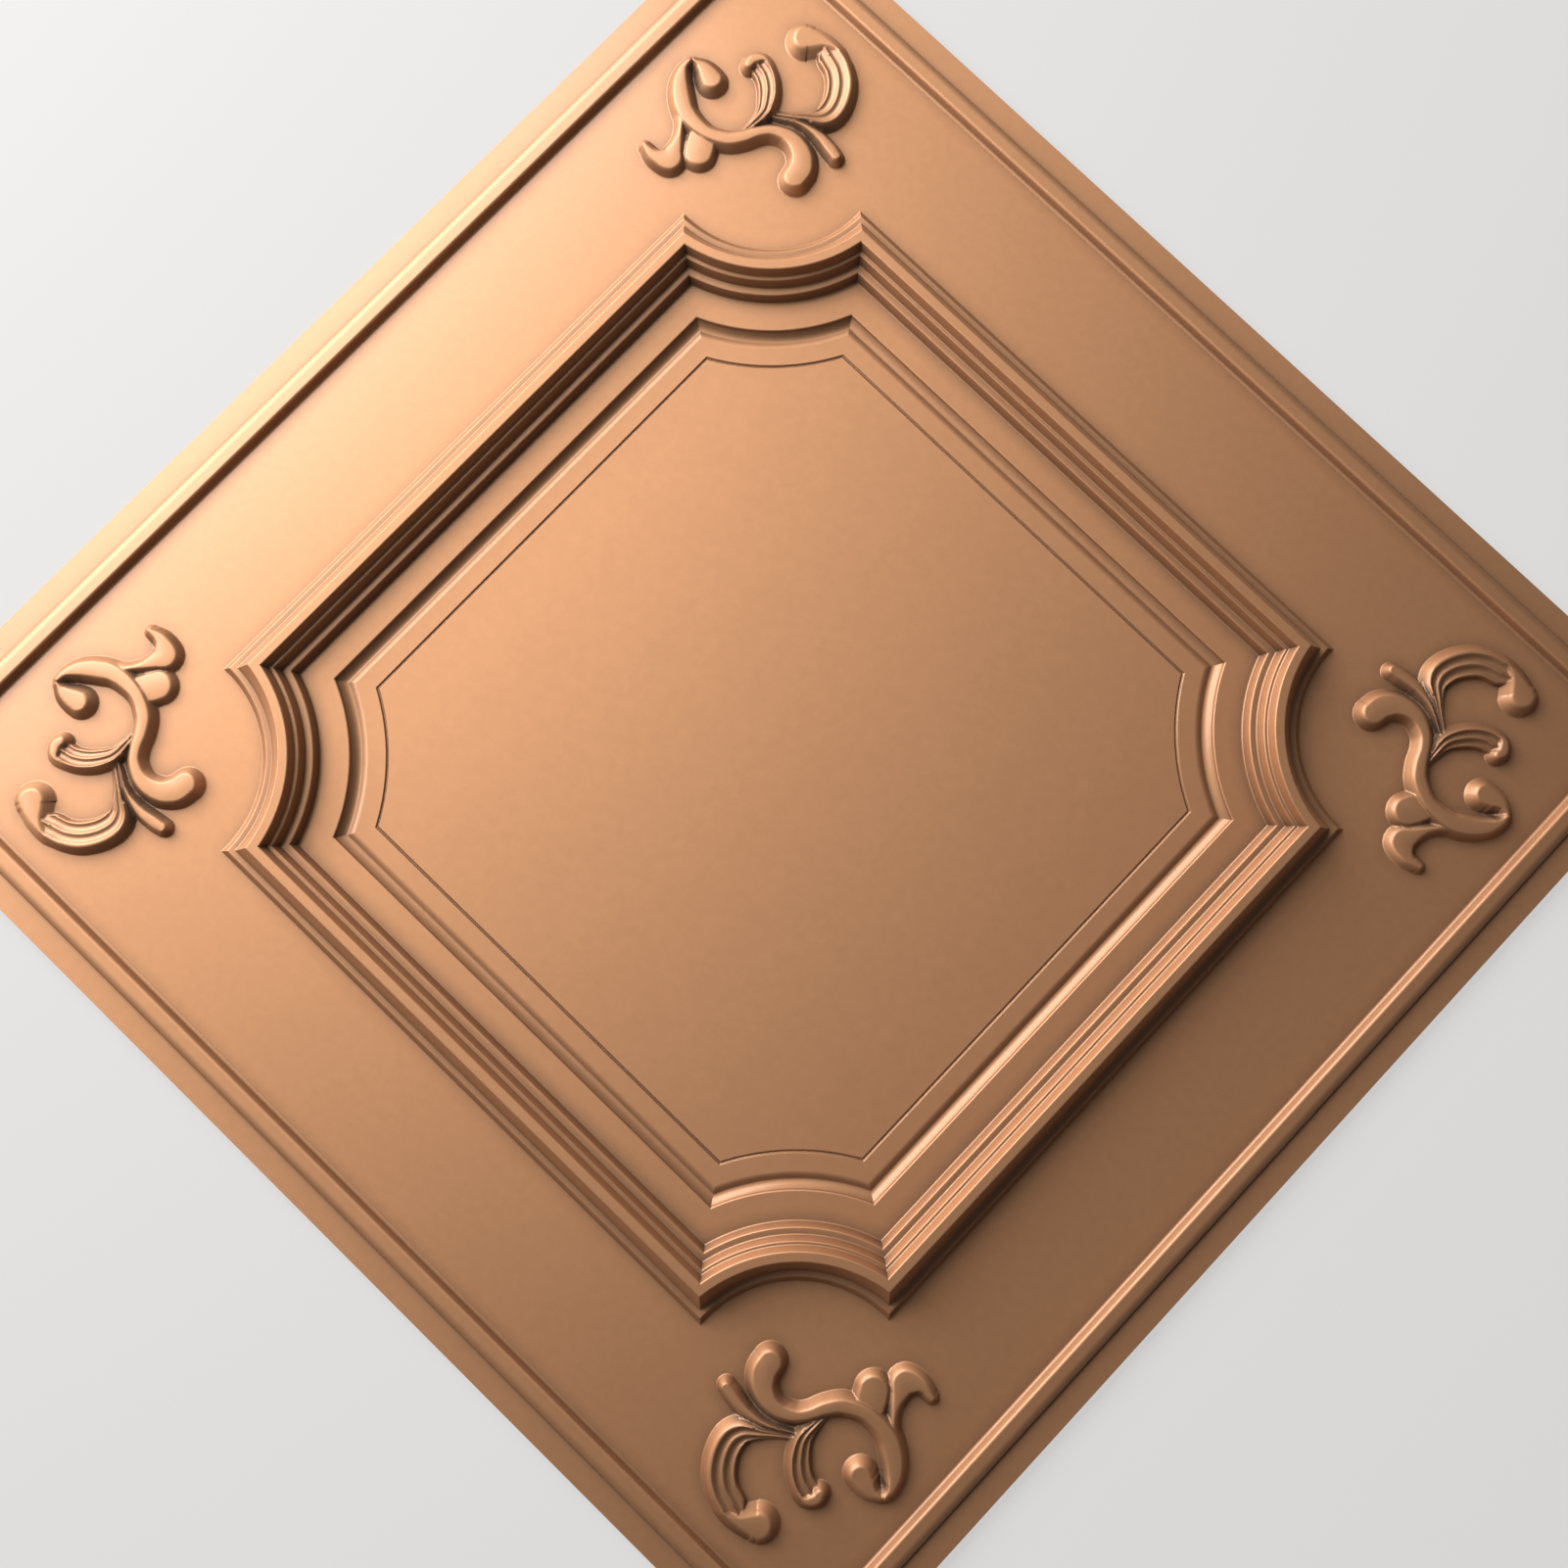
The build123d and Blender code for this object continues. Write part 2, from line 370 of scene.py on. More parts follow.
def rounded(section, radii, steps):
    """The section with each corner rounded, as rows of distance, height, and the normal out and up."""
    rows = []
    ways = []
    for (a, p), (b, q) in zip(section, section[1:]):
        length = hypot(b - a, q - p)
        ways.append(((b - a) / length, (q - p) / length, length))
    normals = [(rise, -run) for run, rise, _ in ways]
    rows.append((*section[0], *normals[0]))
    for (a, p), radius, (run, rise, before), (next_run, next_rise, after), first, last in zip(
        section[1:-1], radii[1:-1], ways, ways[1:], normals, normals[1:]
    ):
        bend = acos(max(-1.0, min(1.0, run * next_run + rise * next_rise)))
        cut = min(radius * tan(bend / 2), ROUNDING_SHARE * before, ROUNDING_SHARE * after)
        arc = cut / tan(bend / 2)
        hollow = run * next_rise - rise * next_run < 0
        sense = -1 if hollow else 1
        middle_out = a - cut * run - sense * arc * first[0]
        middle_up = p - cut * rise - sense * arc * first[1]
        start = atan2(first[1], first[0])
        sweep = (atan2(last[1], last[0]) - start + pi) % (2 * pi) - pi
        for step in range(steps + 1):
            angle = start + sweep * step / steps
            out, up = cos(angle), sin(angle)
            rows.append((middle_out + sense * arc * out, middle_up + sense * arc * up, out, up))
    rows.append((*section[-1], *normals[-1]))
    return rows


def quarter_curve(start, end, steps):
    """Places along a quarter of an ellipse, steep at the start and level at the end."""
    (a, p), (b, q) = start, end
    angles = [radians(90 * step / steps) for step in range(1, steps + 1)]
    return [(a + (b - a) * (1 - cos(angle)), p + (q - p) * sin(angle)) for angle in angles]


def hollow_curve(start, end, steps):
    """Places along a hollow that falls ever less and ends level."""
    (a, p), (b, q) = start, end
    shares = [step / steps for step in range(1, steps + 1)]
    return [(a + (b - a) * share, p + (q - p) * share * (2 - share)) for share in shares]


def shoulder_curve(start, end, steps):
    """Places along a soft slope, level at both ends and steepest near the start."""
    (a, p), (b, q) = start, end
    shares = [step / steps for step in range(1, steps + 1)]
    return [(a + (b - a) * share, p + (q - p) * (1 - cos(pi * share**0.7)) / 2) for share in shares]


def rim_section(sizes, steps):
    """Section of the rim, from the edge to the field."""
    half = HIGH.x
    step = half - sizes.flange_width
    band = step - sizes.band_rise_run
    wall = band - sizes.band_width
    foot = wall - sizes.rim_wall_run
    places = [(half, sizes.flange_height), (step, sizes.flange_height)]
    places += quarter_curve((step, sizes.flange_height), (band, sizes.band_height), steps)
    return places + [(wall, sizes.band_height), (foot, 0.0), (foot - sizes.spare, 0.0)]


def coffer_section(sizes, steps):
    """Section of the coffer, from the field to the centre panel."""
    half = sizes.coffer_side / 2
    places = [(half + sizes.spare, 0.0), (half, 0.0)]
    runs = [
        (sizes.outer_step_run, sizes.outer_step_height),
        (sizes.outer_ledge_width, sizes.outer_step_height),
        (sizes.crest_rise_run, sizes.crest_height),
        (sizes.crest_width, sizes.crest_height),
        (sizes.stair_run, sizes.upper_ledge_height),
        (sizes.upper_ledge_width, sizes.upper_ledge_height),
        (sizes.stair_run, sizes.lower_ledge_height),
        (sizes.lower_ledge_width, sizes.lower_ledge_height),
        (sizes.stair_run, 0.0),
        (sizes.floor_width, 0.0),
        (sizes.cove_lip_run, -sizes.cove_lip_height),
    ]
    for run, height in runs:
        places.append((places[-1][0] - run, height))
    lip = places[-1]
    hollow = (lip[0] - sizes.cove_width, -sizes.cove_depth)
    places += hollow_curve(lip, hollow, steps)
    places += shoulder_curve(hollow, (hollow[0] - sizes.shoulder_width, sizes.panel_height), steps)
    for run, height in [
        (sizes.shoulder_land, sizes.panel_height),
        (sizes.line_width / 2, sizes.panel_height - sizes.line_depth),
        (sizes.line_width / 2, sizes.panel_height),
        (sizes.spare, sizes.panel_height),
    ]:
        places.append((places[-1][0] - run, height))
    return places


# Outlines that the sections follow


def rim_ring(half):
    """Corners of the square at this distance, with the way out at both ends of each side."""
    corners = np.array([(half, -half), (half, half), (-half, half), (-half, -half)])
    out = np.array([(1.0, 0.0), (0.0, 1.0), (-1.0, 0.0), (0.0, -1.0)])
    return corners, out, out


class CofferRing:
    """The coffer's outline at any distance from the middle: a square with corners cut by concave arcs."""

    def __init__(self, sizes, steps):
        self.reach = sizes.corner_radius + sizes.coffer_side / 2
        self.centre = sizes.corner_centre
        self.steps = steps

    def __call__(self, half):
        radius = self.reach - half
        ear = self.centre - sqrt(radius**2 - (half - self.centre) ** 2)
        start = atan2(ear - self.centre, half - self.centre)
        angles = start + (-1.5 * pi - 2 * start) * np.arange(self.steps + 1) / self.steps
        round_way = np.stack([np.cos(angles), np.sin(angles)], axis=1)
        arc = self.centre + radius * round_way
        points = np.vstack([[(half, -ear)], arc[:-1]])
        leave = np.vstack([[(1.0, 0.0)], -round_way[:-1]])
        arrive = np.vstack([[(1.0, 0.0)], -round_way[1:]])
        turns = [np.array([(cos(a), sin(a)), (-sin(a), cos(a))]) for a in (0, pi / 2, pi, 1.5 * pi)]
        return tuple(np.vstack([rows @ turn for turn in turns]) for rows in (points, leave, arrive))


# Mesh building


class Mesh:
    """Points, faces and the normal at each corner of each face, gathered piece by piece."""

    def __init__(self):
        self.points = []
        self.faces = []
        self.normals = []
        self.count = 0

    def add(self, points, faces, normals):
        """Add points, faces as rows of point numbers, and a normal for each corner of each face."""
        self.points.append(np.asarray(points, float))
        for face, corners in zip(faces, normals):
            self.faces.append([self.count + int(k) for k in face])
            self.normals.append(corners)
        self.count += len(points)

    def sweep(self, rows, ring, lift, back=False):
        """Add the section's rows run round the ring."""
        rings = [ring(row[0]) for row in rows]
        width = len(rings[0][0])
        points = [(x, y, row[1] + lift) for row, (places, _, _) in zip(rows, rings) for x, y in places]
        faces, normals = [], []
        for i, (outer, inner) in enumerate(zip(rows, rows[1:])):
            for j in range(width):
                k = (j + 1) % width
                face = [i * width + j, i * width + k, (i + 1) * width + k, (i + 1) * width + j]
                ways = [rings[i][1][j], rings[i][2][j], rings[i + 1][2][j], rings[i + 1][1][j]]
                slopes = [outer, outer, inner, inner]
                corners = [(row[2] * way[0], row[2] * way[1], row[3]) for row, way in zip(slopes, ways)]
                if back:
                    face = face[::-1]
                    corners = [tuple(-x for x in corner) for corner in corners[::-1]]
                faces.append(face)
                normals.append(corners)
        self.add(points, faces, normals)

    def flat(self, loops, height, back=False):
        """Fill the flat area inside the first loop and outside the others."""
        points = [tuple(p) for loop in loops for p in loop]
        edges, start = [], 0
        for loop in loops:
            edges += [(start + k, start + (k + 1) % len(loop)) for k in range(len(loop))]
            start += len(loop)
        places, faces = triangulated(points, edges)
        middles = np.array([[places[k] for k in face] for face in faces]).mean(axis=1)
        inside = in_loop(middles, loops[0])
        for loop in loops[1:]:
            inside &= ~in_loop(middles, loop)
        kept = [face[::-1] if back else face for face, keep in zip(faces, inside) if keep]
        way = (0.0, 0.0, -1.0 if back else 1.0)
        self.add([(x, y, height) for x, y in places], kept, [[way] * 3 for _ in kept])

    def object(self, name):
        """One welded object with the gathered normals."""
        points = np.vstack(self.points)
        keys = np.round(points / WELD).astype(np.int64)
        _, first, place = np.unique(keys, axis=0, return_index=True, return_inverse=True)
        place = place.ravel()
        faces, normals = [], []
        for face, corners in zip(self.faces, self.normals):
            welded = [int(place[k]) for k in face]
            if len(set(welded)) == len(welded):
                faces.append(welded)
                normals += corners
        used = np.unique([k for face in faces for k in face])
        renumber = np.full(len(first), -1)
        renumber[used] = np.arange(len(used))
        renumbered = [[int(renumber[k]) for k in face] for face in faces]
        mesh = bpy.data.meshes.new(name)
        mesh.from_pydata(points[first][used].tolist(), [], renumbered)
        mesh.polygons.foreach_set("use_smooth", [True] * len(mesh.polygons))
        mesh.normals_split_custom_set(normals)
        mesh.update()
        piece = bpy.data.objects.new(name, mesh)
        bpy.context.scene.collection.objects.link(piece)
        return piece


def triangulated(points, edges):
    """Points and triangles that fill the points' convex outline and keep the edges."""
    places, _, faces, _, _, _ = delaunay_2d_cdt([Vector(p) for p in points], edges, [], 0, WELD)
    return [tuple(p) for p in places], faces


def in_loop(points, loop):
    """Whether each point lies inside the loop."""
    inside = np.zeros(len(points), bool)
    for (a, b), (c, d) in zip(loop, [*loop[1:], loop[0]]):
        crosses = (b > points[:, 1]) != (d > points[:, 1])
        if d != b:
            inside ^= crosses & (points[:, 0] < (c - a) * (points[:, 1] - b) / (d - b) + a)
    return inside


def patch_loop(sense_x, sense_y):
    """Outline of a scroll's patch in one corner of the tile, anticlockwise."""
    loop = [(sense_x * x * MM, sense_y * y * MM) for x, y in PATCH]
    return loop if sense_x * sense_y > 0 else loop[::-1]


def add_scrolls(mesh, relief, heart, spacing, apart, lift):
    """Mesh one scroll in its patch and set it, mirrored, in the four corners."""
    back = relief.thickness > 0
    outline = np.array(patch_loop(1, 1)) - heart
    edges = [(k, (k + 1) % len(outline)) for k in range(len(outline))]
    inner = scroll_points(relief, spacing, apart)
    places, faces = triangulated([*map(tuple, outline), *map(tuple, inner)], edges)
    places = np.array(places)
    heights = relief.height(places)
    normals = relief.normal(places)
    for sense_x in (1, -1):
        for sense_y in (1, -1):
            mirrored = sense_x * sense_y < 0
            flip = mirrored != back
            turned = normals * (sense_x, sense_y, 1.0) * (-1 if back else 1)
            points = np.column_stack([(places + heart) * (sense_x, sense_y), heights + lift])
            kept = [face[::-1] if flip else face for face in faces]
            mesh.add(points, kept, [[tuple(turned[k]) for k in face] for face in kept])


# Sizes and colours that a user would change


def length(name, description, default, lowest=0.0):
    """A length in metres."""
    return FloatProperty(
        name=name, description=description, default=default, min=lowest, precision=5, unit="LENGTH"
    )


class TileSizes(bpy.types.PropertyGroup):
    """Sizes of the formed sheet."""

    sheet: length("Sheet", "Thickness of the sheet", 0.0008)
    flange_width: length("Flange width", "Flat edge that lies in the ceiling grid", 0.0113)
    flange_height: length("Flange height", "Flange above the field", 0.0012)
    band_width: length("Band width", "Raised band inside the flange", 0.0046)
    band_height: length("Band height", "Band above the field", 0.004)
    band_rise_run: length("Band rise run", "Run of the rounded rise from the flange to the band", 0.0044)
    rim_wall_run: length("Rim wall run", "Run of the wall from the band to the field", 0.0019)
    coffer_side: length("Coffer side", "Outside width of the coffer", 0.4208)
    corner_radius: length("Corner radius", "Radius of the concave corners", 0.057)
    corner_centre: length("Corner centre", "Centre of each corner's arcs from the middle of the tile", 0.2083)
    outer_step_height: length("Outer step height", "Outermost ledge above the field", 0.003)
    outer_step_run: length("Outer step run", "Run of the outermost rise", 0.0024)
    outer_ledge_width: length("Outer ledge width", "Width of the outermost ledge", 0.0028)
    crest_height: length("Crest height", "Crest above the field", 0.014)
    crest_rise_run: length("Crest rise run", "Run of the rise to the crest", 0.0059)
    crest_width: length("Crest width", "Width of the crest", 0.0045)
    stair_run: length("Stair run", "Run of each inner fall", 0.0019)
    upper_ledge_width: length("Upper ledge width", "Width of the upper inner ledge", 0.0016)
    upper_ledge_height: length("Upper ledge height", "Upper inner ledge above the field", 0.0094)
    lower_ledge_width: length("Lower ledge width", "Width of the lower inner ledge", 0.0032)
    lower_ledge_height: length("Lower ledge height", "Lower inner ledge above the field", 0.0047)
    floor_width: length("Floor width", "Flat floor inside the stairs", 0.0133)
    cove_lip_height: length("Cove lip height", "Fall of the cove's steep lip", 0.0012)
    cove_lip_run: length("Cove lip run", "Run of the cove's steep lip", 0.0005)
    cove_depth: length("Cove depth", "Hollow of the cove below the field", 0.0034)
    cove_width: length("Cove width", "Width of the hollow", 0.004)
    shoulder_width: length("Shoulder width", "Width of the slope up to the panel", 0.0036)
    panel_height: length("Panel height", "Centre panel above the field", -0.0022, -0.02)
    shoulder_land: length("Shoulder land", "Flat between the slope and the fine line", 0.0078)
    line_width: length("Line width", "Width of the fine line round the panel", 0.0016)
    line_depth: length("Line depth", "Depth of the fine line", 0.0008)
    scroll_x: length("Scroll X", "Heart of each scroll from the middle of the tile along X", 0.2126)
    scroll_y: length("Scroll Y", "Heart of each scroll from the middle of the tile along Y", 0.2095)
    edge_radius: length("Edge radius", "Rounding of the coffer's edges on the face", 0.0009)
    rim_radius: length("Rim radius", "Rounding of the rim's edges on the face", 0.0017)
    line_radius: length("Line radius", "Rounding of the fine line's edges on the face", 0.0003)
    back_radius: length("Back radius", "Rounding of the formed edges on the back", 0.0004)
    spare: length("Spare", "Flat kept beside a section where it joins the field or the panel", 0.003)
    edge_steps: IntProperty(name="Edge steps", description="Faces across a rounded edge", default=4, min=1)
    curve_steps: IntProperty(
        name="Curve steps", description="Faces across each curve of the rim and the cove", default=10, min=2
    )
    arc_steps: IntProperty(name="Arc steps", description="Faces along each concave corner", default=28, min=4)


class FinishLook(bpy.types.PropertyGroup):
    """Colours of the copper finish and of the shade painted into its recesses."""

    copper: FloatVectorProperty(
        name="Copper",
        description="Colour of the finish",
        default=(0.49, 0.26, 0.134),
        subtype="COLOR",
        size=3,
    )
    # Dark brown painted into the recesses and at the foot of the walls as shade.
    painted_shade: FloatVectorProperty(
        name="Painted shade",
        description="Colour of the dark patina",
        default=(0.11, 0.075, 0.055),
        subtype="COLOR",
        size=3,
    )
    roughness: FloatProperty(
        name="Roughness", description="Roughness of the copper", default=0.68, subtype="FACTOR"
    )
    lacquer: FloatProperty(
        name="Lacquer", description="Weight of the clear coat", default=0.4, subtype="FACTOR"
    )
    lacquer_roughness: FloatProperty(
        name="Lacquer roughness", description="Roughness of the clear coat", default=0.22, subtype="FACTOR"
    )


class StageLook(bpy.types.PropertyGroup):
    """The floor, the lights and the camera."""

    floor_colour: FloatVectorProperty(
        name="Floor",
        description="Colour of the floor",
        default=(0.11, 0.1073, 0.1036),
        subtype="COLOR",
        size=3,
    )
    camera_place: FloatVectorProperty(
        name="Camera",
        description="Place of the camera",
        default=(0.0477, -0.0593, 0.674),
        subtype="XYZ",
        size=3,
    )
    camera_target: FloatVectorProperty(
        name="Target",
        description="What the camera points at",
        default=(0.0114, -0.0113, 0.0042),
        subtype="XYZ",
        size=3,
    )
    camera_turn: FloatProperty(
        name="Turn", description="Turn of the picture about its axis", default=radians(43.84), unit="ROTATION"
    )
    lens: FloatProperty(name="Lens", description="Focal length in millimetres", default=33.73, min=1.0)
    floor_glow: FloatProperty(
        name="Floor glow",
        description="How far the floor is lifted in the picture and in reflections",
        default=0.58,
    )
    key_power: FloatProperty(
        name="Key light", description="Power of the large soft light in watts", default=66.0
    )
    room_light: FloatProperty(
        name="Room light", description="Strength of the light all round", default=0.1
    )


# Materials

# Scales of the grain, the slow unevenness and the mottle, and how far the mottle changes the copper's colour.
GRAIN_SCALE = 1400.0
WAVE_SCALE = 14.0
MOTTLE_SCALE = 220.0
MOTTLE_CHANGE = 0.06

# Heights of the grain and of the slow unevenness, and how far from a wall the painted shade reaches, in
# metres.
GRAIN_HEIGHT = 0.00001
WAVE_HEIGHT = 0.0002
PAINTED_SHADE_REACH = 0.008

# How strongly the painted shade darkens the copper where the relief hides the sheet.
PAINTED_SHADE_STRENGTH = 1.7
LACQUER_IOR = 1.54
FLOOR_ROUGHNESS = 0.9
FLOOR_GLOW_COLOUR = (1.0, 0.985, 0.97, 1.0)


def new_group(name, inputs, outputs):
    """A shader node group with these sockets, and its input and output nodes."""
    group = bpy.data.node_groups.new(name, "ShaderNodeTree")
    for title, kind, default in inputs:
        socket = group.interface.new_socket(title, in_out="INPUT", socket_type=kind)
        socket.default_value = default
    for title, kind in outputs:
        group.interface.new_socket(title, in_out="OUTPUT", socket_type=kind)
    return group, group.nodes.new("NodeGroupInput"), group.nodes.new("NodeGroupOutput")


def noise(nodes, links, vector, scale, detail):
    """A noise texture over the given coordinates."""
    node = nodes.new("ShaderNodeTexNoise")
    node.inputs["Scale"].default_value = scale
    node.inputs["Detail"].default_value = detail
    links.new(vector, node.inputs["Vector"])
    return node.outputs["Fac"]


def grain_group():
    """Fine grain and slow unevenness of a sprayed finish, as a height and a mottle mask."""
    group, entry, result = new_group(
        "sprayed_grain",
        [("Grain", "NodeSocketFloat", 1.0), ("Waves", "NodeSocketFloat", 1.0)],
        [("Height", "NodeSocketFloat"), ("Mottle", "NodeSocketFloat")],
    )
    nodes, links = group.nodes, group.links
    place = nodes.new("ShaderNodeTexCoord").outputs["Object"]
    fine = noise(nodes, links, place, GRAIN_SCALE, 2.0)
    slow = noise(nodes, links, place, WAVE_SCALE, 1.0)
    fine_part = nodes.new("ShaderNodeMath")
    fine_part.operation = "MULTIPLY"
    links.new(fine, fine_part.inputs[0])
    links.new(entry.outputs["Grain"], fine_part.inputs[1])
    slow_part = nodes.new("ShaderNodeMath")
    slow_part.operation = "MULTIPLY_ADD"
    links.new(slow, slow_part.inputs[0])
    links.new(entry.outputs["Waves"], slow_part.inputs[1])
    links.new(fine_part.outputs[0], slow_part.inputs[2])
    links.new(slow_part.outputs[0], result.inputs["Height"])
    links.new(noise(nodes, links, place, MOTTLE_SCALE, 4.0), result.inputs["Mottle"])
    return group


def painted_shade_group():
    """Painted shade in the recesses and at the foot of the walls, as a mask from ambient occlusion."""
    group, entry, result = new_group(
        "painted_shade_in_recesses",
        [("Reach", "NodeSocketFloat", 0.004), ("Strength", "NodeSocketFloat", 1.0)],
        [("Mask", "NodeSocketFloat")],
    )
    nodes, links = group.nodes, group.links
    hollow = nodes.new("ShaderNodeAmbientOcclusion")
    hollow.samples = 4
    hollow.only_local = True
    links.new(entry.outputs["Reach"], hollow.inputs["Distance"])
    covered = nodes.new("ShaderNodeMath")
    covered.operation = "SUBTRACT"
    covered.inputs[0].default_value = 1.0
    links.new(hollow.outputs["AO"], covered.inputs[1])
    mask = nodes.new("ShaderNodeMath")
    mask.operation = "MULTIPLY"
    mask.use_clamp = True
    links.new(covered.outputs[0], mask.inputs[0])
    links.new(entry.outputs["Strength"], mask.inputs[1])
    links.new(mask.outputs[0], result.inputs["Mask"])
    return group


def copper_material(look):
    """Satin copper finish on the sheet, with painted shade in its recesses."""
    material = bpy.data.materials.new("copper_finish")
    material.use_nodes = True
    nodes, links = material.node_tree.nodes, material.node_tree.links
    shader = nodes["Principled BSDF"]
    grain = nodes.new("ShaderNodeGroup")
    grain.node_tree = grain_group()
    grain.inputs["Grain"].default_value = GRAIN_HEIGHT
    grain.inputs["Waves"].default_value = WAVE_HEIGHT
    colour = nodes.new("ShaderNodeMix")
    colour.data_type = "RGBA"
    colour.inputs["A"].default_value = (*((1 - MOTTLE_CHANGE) * c for c in look.copper), 1.0)
    colour.inputs["B"].default_value = (*((1 + MOTTLE_CHANGE) * c for c in look.copper), 1.0)
    links.new(grain.outputs["Mottle"], colour.inputs["Factor"])
    # Painted shade: the copper is mixed towards dark brown wherever ambient occlusion finds the relief hiding
    # the sheet.
    painted_shade = nodes.new("ShaderNodeGroup")
    painted_shade.node_tree = painted_shade_group()
    painted_shade.inputs["Reach"].default_value = PAINTED_SHADE_REACH
    painted_shade.inputs["Strength"].default_value = PAINTED_SHADE_STRENGTH
    finish = nodes.new("ShaderNodeMix")
    finish.data_type = "RGBA"
    finish.inputs["B"].default_value = (*look.painted_shade, 1.0)
    links.new(painted_shade.outputs["Mask"], finish.inputs["Factor"])
    links.new(colour.outputs["Result"], finish.inputs["A"])
    links.new(finish.outputs["Result"], shader.inputs["Base Color"])
    bump = nodes.new("ShaderNodeBump")
    bump.inputs["Strength"].default_value = 1.0
    bump.inputs["Distance"].default_value = 1.0
    links.new(grain.outputs["Height"], bump.inputs["Height"])
    links.new(bump.outputs["Normal"], shader.inputs["Normal"])
    shader.inputs["Metallic"].default_value = 1.0
    shader.inputs["Roughness"].default_value = look.roughness
    shader.inputs["Coat Weight"].default_value = look.lacquer
    shader.inputs["Coat IOR"].default_value = LACQUER_IOR
    shader.inputs["Coat Roughness"].default_value = look.lacquer_roughness
    return material


def floor_material(look):
    """Plain matt floor, lifted where the camera, a reflection or a clear thing shows it."""
    material = bpy.data.materials.new("pale_floor")
    material.use_nodes = True
    nodes, links = material.node_tree.nodes, material.node_tree.links
    shader = nodes["Principled BSDF"]
    shader.inputs["Base Color"].default_value = (*look.floor_colour, 1.0)
    shader.inputs["Roughness"].default_value = FLOOR_ROUGHNESS
    path = nodes.new("ShaderNodeLightPath")
    seen = path.outputs["Is Camera Ray"]
    for ray in ("Is Glossy Ray", "Is Transmission Ray"):
        either = nodes.new("ShaderNodeMath")
        either.operation = "MAXIMUM"
        links.new(seen, either.inputs[0])
        links.new(path.outputs[ray], either.inputs[1])
        seen = either.outputs[0]
    glow = nodes.new("ShaderNodeMath")
    glow.operation = "MULTIPLY"
    glow.inputs[1].default_value = look.floor_glow
    links.new(seen, glow.inputs[0])
    shader.inputs["Emission Color"].default_value = FLOOR_GLOW_COLOUR
    links.new(glow.outputs[0], shader.inputs["Emission Strength"])
    return material


# Operators

# The key light, beyond the tile's left side, and how far the floor reaches from the middle, in metres.
KEY_PLACE = (-1.18, -0.05, 0.93)
KEY_TARGET = (0.8, -0.05, 0.0)
KEY_SIZE = (1.7, 1.3)
FLOOR_REACH = 4.0


class TILE_OT_formed_sheet(bpy.types.Operator):
    """Build the formed sheet with its rim, coffer, panel and corner scrolls"""

    bl_idname = "tile.formed_sheet"
    bl_label = "Formed sheet"

    def execute(self, context):
        sizes = context.scene.tile_sizes
        lift = HIGH.z - sizes.crest_height
        ring = CofferRing(sizes, sizes.arc_steps)
        heart = np.array([sizes.scroll_x, sizes.scroll_y])
        patches = [patch_loop(a, b) for a in (1, -1) for b in (1, -1)]
        leaves = scroll_leaves()
        mesh = Mesh()
        edges = []
        for thickness, radii, spacing, apart in (
            (0.0, (sizes.rim_radius, sizes.edge_radius, sizes.line_radius), FACE_SPACING, FACE_APART),
            (sizes.sheet, (sizes.back_radius,) * 3, BACK_SPACING, BACK_APART),
        ):
            back = thickness > 0
            rim = rim_section(sizes, sizes.curve_steps)
            coffer = coffer_section(sizes, sizes.curve_steps)
            if back:
                rim, coffer = line_offset(rim, thickness), line_offset(coffer, thickness)
            rim = rounded(rim, [radii[0], radii[2], *[radii[0]] * (len(rim) - 2)], sizes.edge_steps)
            coffer = rounded(coffer, [radii[1]] * (len(coffer) - 4) + [radii[2]] * 4, sizes.edge_steps)
            mesh.sweep(rim, rim_ring, lift, back)
            mesh.sweep(coffer, ring, lift, back)
            edges.append([(x, y, rim[0][1] + lift) for x, y in rim_ring(rim[0][0])[0]])
            foot = [tuple(p) for p in rim_ring(rim[-1][0])[0]]
            outside = [tuple(p) for p in ring(coffer[0][0])[0]]
            panel = [tuple(p) for p in ring(coffer[-1][0])[0]]
            mesh.flat([foot, outside, *patches], lift - thickness, back)
            mesh.flat([panel], coffer[-1][1] + lift, back)
            add_scrolls(mesh, Relief(leaves, thickness), heart, spacing, apart, lift)
        way = rim_ring(1.0)[1]
        sides = [[4 + k, 4 + (k + 1) % 4, (k + 1) % 4, k] for k in range(4)]
        mesh.add([*edges[0], *edges[1]], sides, [[(*way[k], 0.0)] * 4 for k in range(4)])
        piece = mesh.object("formed_sheet")
        piece.data.materials.append(copper_material(context.scene.finish_look))
        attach(piece, "root")
        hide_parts(NODE)
        return {"FINISHED"}


def soft_light(name, place, target, size, power):
    """A rectangular light that faces its target."""
    data = bpy.data.lights.new(name, "AREA")
    data.shape = "RECTANGLE"
    data.size, data.size_y = size
    data.energy = power
    light = bpy.data.objects.new(name, data)
    light.location = place
    light.rotation_euler = (Vector(target) - Vector(place)).to_track_quat("-Z", "Y").to_euler()
    light.visible_camera = False
    bpy.context.scene.collection.objects.link(light)


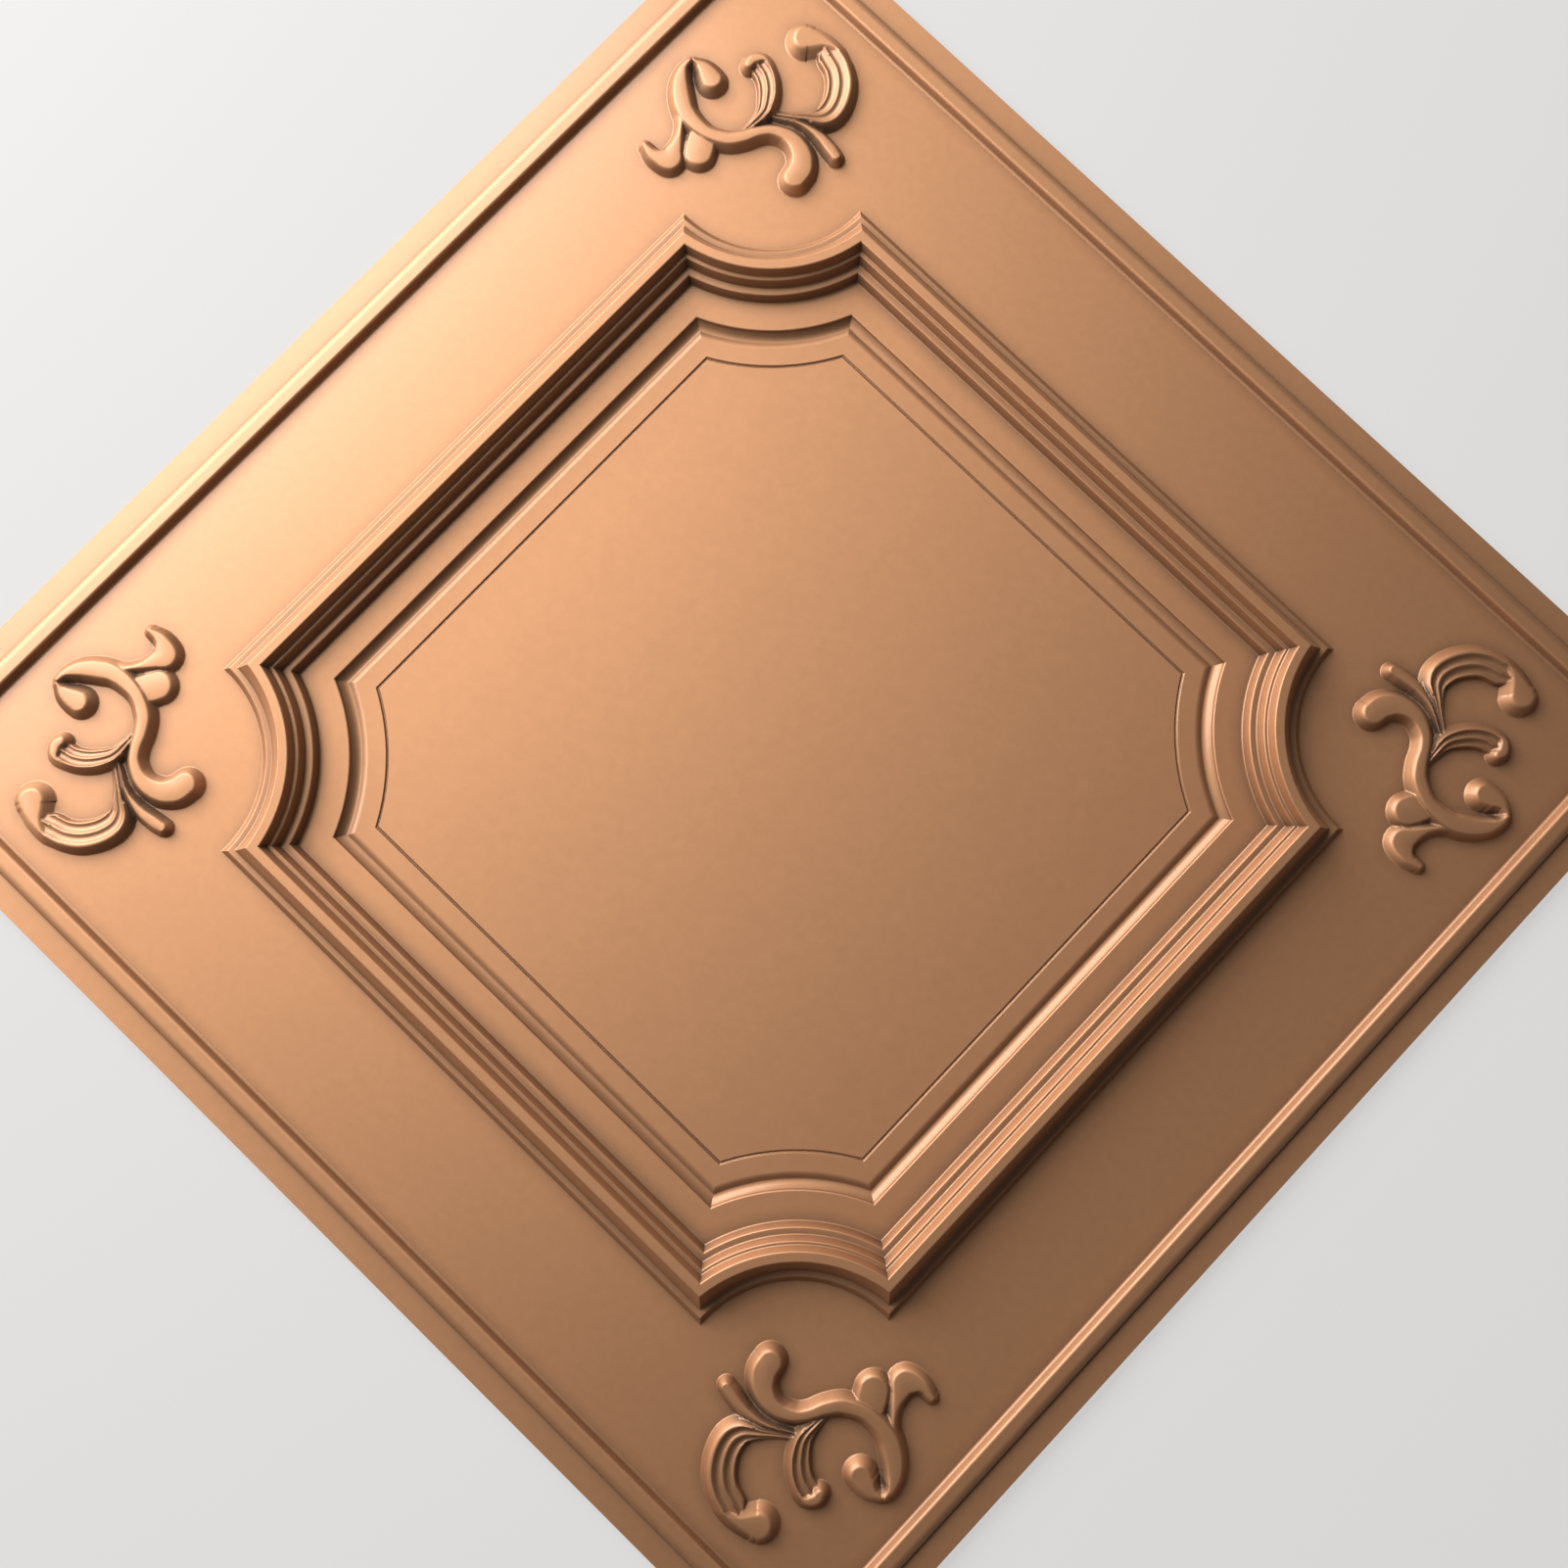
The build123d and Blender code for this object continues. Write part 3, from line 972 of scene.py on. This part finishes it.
class TILE_OT_stage(bpy.types.Operator):
    """Set out the floor, the lights, the surroundings and the camera"""

    bl_idname = "tile.stage"
    bl_label = "Stage"

    def execute(self, context):
        look = context.scene.stage_look
        self.add_floor(look)
        self.add_lights(look)
        self.add_camera(look)
        context.scene.view_settings.view_transform = "Standard"
        return {"FINISHED"}

    def add_floor(self, look):
        """A wide floor under the tile."""
        mesh = bpy.data.meshes.new("floor")
        corners = [(*corner, 0.0) for corner in rim_ring(FLOOR_REACH)[0]]
        mesh.from_pydata(corners, [], [(0, 1, 2, 3)])
        mesh.materials.append(floor_material(look))
        floor = bpy.data.objects.new("floor", mesh)
        bpy.context.scene.collection.objects.link(floor)

    def add_lights(self, look):
        """A large soft light beyond the tile's left side, and weak light all round."""
        soft_light("key", KEY_PLACE, KEY_TARGET, KEY_SIZE, look.key_power)
        world = bpy.data.worlds.new("room")
        world.use_nodes = True
        background = world.node_tree.nodes["Background"]
        background.inputs["Color"].default_value = (1.0, 1.0, 1.0, 1.0)
        background.inputs["Strength"].default_value = look.room_light
        bpy.context.scene.world = world

    def add_camera(self, look):
        """A camera above the tile, turned so that the tile's corners point up, down and sideways."""
        data = bpy.data.cameras.new("camera")
        data.lens = look.lens
        camera = bpy.data.objects.new("camera", data)
        place = Vector(look.camera_place)
        forward = (Vector(look.camera_target) - place).normalized()
        above = Vector((-sin(look.camera_turn), cos(look.camera_turn), 0.0))
        right = forward.cross(above).normalized()
        up = right.cross(forward)
        axes = Matrix((right, up, -forward)).transposed()
        camera.matrix_world = Matrix.Translation(place) @ axes.to_4x4()
        bpy.context.scene.collection.objects.link(camera)
        bpy.context.scene.camera = camera


class TILE_PT_panel(bpy.types.Panel):
    """Lists the tile's operators and sizes"""

    bl_idname = "TILE_PT_panel"
    bl_label = "Ceiling tile"
    bl_space_type = "VIEW_3D"
    bl_region_type = "UI"
    bl_category = "Tile"

    def draw(self, context):
        layout = self.layout
        for operator in OPERATORS:
            layout.operator(operator.bl_idname)
        for settings in (context.scene.tile_sizes, context.scene.finish_look, context.scene.stage_look):
            box = layout.box()
            for name in settings.__annotations__:
                box.prop(settings, name)


OPERATORS = (TILE_OT_stage, TILE_OT_formed_sheet)
CLASSES = (TileSizes, FinishLook, StageLook, *OPERATORS, TILE_PT_panel)


def register():
    """Register the classes and give the scene their settings."""
    for kind in CLASSES:
        bpy.utils.register_class(kind)
    bpy.types.Scene.tile_sizes = PointerProperty(type=TileSizes)
    bpy.types.Scene.finish_look = PointerProperty(type=FinishLook)
    bpy.types.Scene.stage_look = PointerProperty(type=StageLook)


def unregister():
    """Take the settings and the classes away again."""
    del bpy.types.Scene.stage_look
    del bpy.types.Scene.finish_look
    del bpy.types.Scene.tile_sizes
    for kind in reversed(CLASSES):
        bpy.utils.unregister_class(kind)


def main():
    """Build the stage and the tile."""
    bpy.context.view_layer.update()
    register()
    bpy.ops.tile.stage()
    bpy.ops.tile.formed_sheet()


if __name__ == "__main__":
    main()
